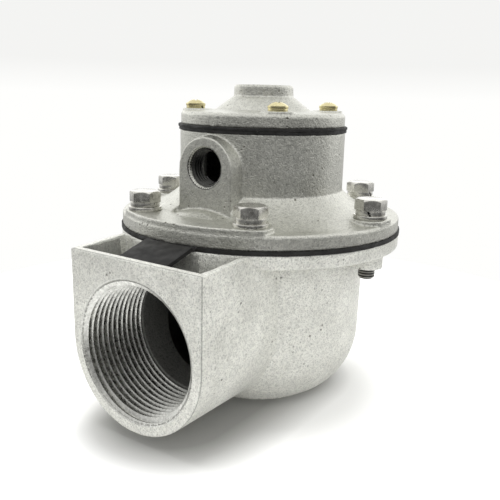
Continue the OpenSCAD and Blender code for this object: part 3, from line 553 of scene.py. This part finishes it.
finish_mesh(pilot_thread, port_thread_painted_shade, "valve")
inlet_mouth = turned_ring("inlet_mouth_chamfer", [(25.6, 0), (24.85, 0), (24.0, 0.53), (24.3, 1.2), (25.6, 1.2)],
                          (0, INLET_FACE_Y, INLET_Z), (0, 1, 0))
finish_mesh(inlet_mouth, cut_thread, "valve")
paint(inlet_mouth, cast_body, lambda place: place.y < INLET_FACE_Y + 0.01)
exhaust_mouth = turned_ring("exhaust_mouth_chamfer", [(8.1, 0), (7.62, 0), (6.85, 0.75), (7.3, 1.6), (8.1, 1.6)],
                            (0, EXHAUST_FACE_Y, EXHAUST_Z), (0, 1, 0), 96)
finish_mesh(exhaust_mouth, cut_thread, "valve")
paint(exhaust_mouth, cast_bonnet, lambda place: place.y < EXHAUST_FACE_Y + 0.01)

# ---------------------------------------------------------------- fasteners and rubber

for node, name, width, material, slot in (
        ("flange_bolts", "flange_bolt_set", 0.22, zinc, "zinc_plated_steel"),
        ("flange_spring_washers", "flange_spring_washer_set", 0.2, zinc, "zinc_plated_steel"),
        ("flange_flat_washers", "flange_flat_washer_set", 0.2, zinc, "zinc_plated_steel"),
        ("cover_screws", "cover_screw_set", 0.15, yellow_zinc, "yellow_zinc_steel"),
        ("cover_spring_washers", "cover_spring_washer_set", 0.12, yellow_zinc, "zinc_plated_steel")):
    piece = bevelled(node, name, width)
    finish_mesh(piece, material, "valve")
    if node == "flange_bolts":
        # The bolts' shafts get thread stripes of painted shade and painted highlight.
        paint(piece, zinc_thread_painted_light, lambda place: place.z < BOLT_HEAD_Z)
    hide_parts(node)

gasket = bevelled("cover_gasket", "cover_gasket_ring", 0.2)
ragged(gasket, 31.6, 0.3, 3.0)
finish_mesh(gasket, black_rubber, "valve")
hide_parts("cover_gasket")


def moulded_sheet(node, dip_inner_r, dip_outer_r, edge_r, seed, disc_body):
    """A diaphragm in three zones: the clamped rim stays, the disc's zone rides it and the dip stays with the body on a
    mesh of its own.
    """
    rim = sheet_zone(node, node + "_rim", dip_outer_r - 0.3, 200)
    ragged(rim, edge_r, 0.3, seed)
    finish_mesh(rim, black_rubber, "valve")
    dip = sheet_zone(node, node + "_dip", dip_inner_r - 0.3, dip_outer_r - 0.3)
    finish_mesh(dip, black_rubber, "valve")
    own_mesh(dip)
    disc = sheet_zone(node, node + "_disc", 0, dip_inner_r - 0.3)
    finish_mesh(disc, black_rubber, disc_body)
    for piece in (rim, dip, disc):
        smooth(piece, 40)
        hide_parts(node)


def pressed_spring(node):
    """A coil spring on a mesh of its own, in stainless."""
    coil = cad_copy(node, node + "_coil")
    finish_mesh(coil, stainless, "valve")
    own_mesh(coil)
    smooth(coil, 60)
    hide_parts(node)


pressed_spring("main_spring")
pressed_spring("pilot_spring")
moulded_sheet("main_diaphragm", 29, 36, 53.7, 0.0, "main_disc")
moulded_sheet("pilot_diaphragm", 14, 19, 31.7, 7.0, "pilot_disc")

for node, material in (("main_backing_plate", stainless), ("main_retainer_plate", stainless),
                       ("main_centre_screw", zinc), ("main_centre_nut", zinc), ("bleed_eyelet", brass),
                       ("pilot_backing_plate", stainless), ("pilot_retainer_plate", stainless),
                       ("pilot_rivet", stainless)):
    obj = nodes_of_cad[node]
    obj.data.materials.clear()
    obj.data.materials.append(material)

# ---------------------------------------------------------------- floor, light, camera

PAPER_R = 0.19
floor_bm = bmesh.new()
bmesh.ops.create_circle(floor_bm, cap_ends=True, segments=64, radius=PAPER_R)
bmesh.ops.translate(floor_bm, vec=(-0.02, 0.03, -0.00005), verts=floor_bm.verts)
floor_mesh = bpy.data.meshes.new("paper_sheet")
floor_bm.to_mesh(floor_mesh)
floor_bm.free()
floor = link("paper_sheet", floor_mesh)
paper = Shader("white_paper_painted_shadow", 0.0, 0.8)
paper.finish(paper.ramp(paper.noise(300), [(0.3, (0.66, 0.66, 0.655)), (0.7, (0.68, 0.68, 0.675))]))
# Seen by the camera the paper is bright, with painted shadow near the foot: darker within 20 to 40 mm of a line from
# the middle towards the inlet.
camera_paper_painted_shadow = paper.node("ShaderNodeBsdfDiffuse")
across = paper.along("X")
forwards = paper.along("Y")
nearest = paper.maths("MINIMUM", paper.maths("MAXIMUM", forwards, -52 * MM), 0)
past = paper.maths("SUBTRACT", forwards, nearest)
from_foot = paper.maths("SQRT", paper.maths("ADD", paper.maths("MULTIPLY", across, across),
                                            paper.maths("MULTIPLY", past, past)), 0)
# Painted shadow: 0.34 at the foot, rising to 0.98 from 40 mm away.
painted_shadow_fade = paper.grey(from_foot, 0, 1, 20 * MM, 40 * MM)
paper.link(paper.ramp(painted_shadow_fade, [(0.0, (0.34, 0.34, 0.33)), (0.4, (0.55, 0.55, 0.54)), (1.0, (0.98, 0.98, 0.976))]),
           camera_paper_painted_shadow.inputs["Color"])
seen_directly = paper.node("ShaderNodeMixShader")
paper.link(paper.node("ShaderNodeLightPath").outputs["Is Camera Ray"], seen_directly.inputs[0])
paper.link(paper.bsdf.outputs["BSDF"], seen_directly.inputs[1])
paper.link(camera_paper_painted_shadow.outputs["BSDF"], seen_directly.inputs[2])
paper.link(seen_directly.outputs["Shader"], paper.tree.nodes["Material Output"].inputs["Surface"])
floor.data.materials.append(paper.material)


class Room:
    """The light that comes from each direction: bright above and behind, dark at the camera's side."""

    def __init__(self, world):
        self.tree = world.node_tree
        self.tree.nodes.clear()
        self.facing = self.tree.nodes.new("ShaderNodeTexCoord").outputs["Generated"]

    def node(self, kind, operation=None):
        made = self.tree.nodes.new(kind)
        if operation:
            made.operation = operation
        return made

    def along(self, direction):
        made = self.node("ShaderNodeVectorMath", "DOT_PRODUCT")
        self.tree.links.new(self.facing, made.inputs[0])
        made.inputs[1].default_value = direction
        return made.outputs["Value"]

    def ramp(self, value, low, high, stops):
        fit = self.node("ShaderNodeMapRange")
        fit.inputs["From Min"].default_value = low
        fit.inputs["From Max"].default_value = high
        self.tree.links.new(value, fit.inputs["Value"])
        made = self.node("ShaderNodeValToRGB")
        elements = made.color_ramp.elements
        while len(elements) < len(stops):
            elements.new(0.5)
        for element, (at, level) in zip(elements, stops):
            element.position = (at - low) / (high - low)
            element.color = (level, level, level * 0.985, 1)
        self.tree.links.new(fit.outputs["Result"], made.inputs["Fac"])
        return made.outputs["Color"]

    def mix(self, factor, a, b):
        made = self.node("ShaderNodeMix")
        made.data_type = "RGBA"
        self.tree.links.new(factor, made.inputs["Factor"])
        colours = [s for s in made.inputs if s.type == "RGBA"]
        self.tree.links.new(a, colours[0])
        self.tree.links.new(b, colours[1])
        return [s for s in made.outputs if s.type == "RGBA"][0]

    def background(self, colour):
        made = self.node("ShaderNodeBackground")
        self.tree.links.new(colour, made.inputs["Color"])
        return made.outputs["Background"]


world = bpy.data.worlds.new("studio_room")
scene.world = world
world.use_nodes = True
room = Room(world)
height = room.along((0, 0, 1))
behind = room.along((-0.569, 0.822, 0))
front_side = room.ramp(height, -1, 1, [(-0.4, 0.12), (0.0, 0.18), (0.25, 0.35), (0.5, 0.85), (0.8, 0.9)])
back_side = room.ramp(height, -1, 1, [(-0.4, 0.2), (0.0, 0.8), (0.15, 1.5), (0.35, 1.4), (0.6, 1.0)])
how_far_back = room.ramp(behind, -1, 1, [(-0.25, 0.0), (0.35, 1.0)])
lit = room.background(room.mix(how_far_back, front_side, back_side))
seen = room.background(room.ramp(height, -1, 1, [(0.0, 1.0), (0.045, 0.905)]))
chooser = room.node("ShaderNodeMixShader")
ray = room.node("ShaderNodeLightPath")
target = room.node("ShaderNodeOutputWorld")
world.node_tree.links.new(ray.outputs["Is Camera Ray"], chooser.inputs[0])
world.node_tree.links.new(lit, chooser.inputs[1])
world.node_tree.links.new(seen, chooser.inputs[2])
world.node_tree.links.new(chooser.outputs["Shader"], target.inputs["Surface"])


def wide_lamp(name, towards, spread, strength):
    """Light from a wide patch of the ceiling, the same everywhere."""
    data = bpy.data.lights.new(name, "SUN")
    data.angle = math.radians(spread)
    data.energy = strength
    lamp = bpy.data.objects.new(name, data)
    scene.collection.objects.link(lamp)
    lamp.rotation_euler = Vector(towards).to_track_quat("-Z", "Y").to_euler()
    lamp.visible_glossy = False
    return lamp


wide_lamp("ceiling_lamp", (0.12, -0.12, -1.0), 32, 2.0)
wide_lamp("right_lamp", (-1.0, 0.5, -0.12), 45, 1.5)
wide_lamp("front_lamp", (0.1, 1.0, -0.25), 50, 1.1)

camera_data = bpy.data.cameras.new("camera")
camera_data.lens = CAMERA_LENS
camera_data.sensor_width = 36.0
camera_data.clip_start = 0.01
camera = bpy.data.objects.new("camera", camera_data)
scene.collection.objects.link(camera)
turn = Matrix((CAMERA_RIGHT, CAMERA_UP, CAMERA_BACK)).transposed().to_4x4()
camera.matrix_world = Matrix.Translation(Vector(CAMERA_PLACE)) @ turn
scene.camera = camera

scene.view_settings.view_transform = "Standard"
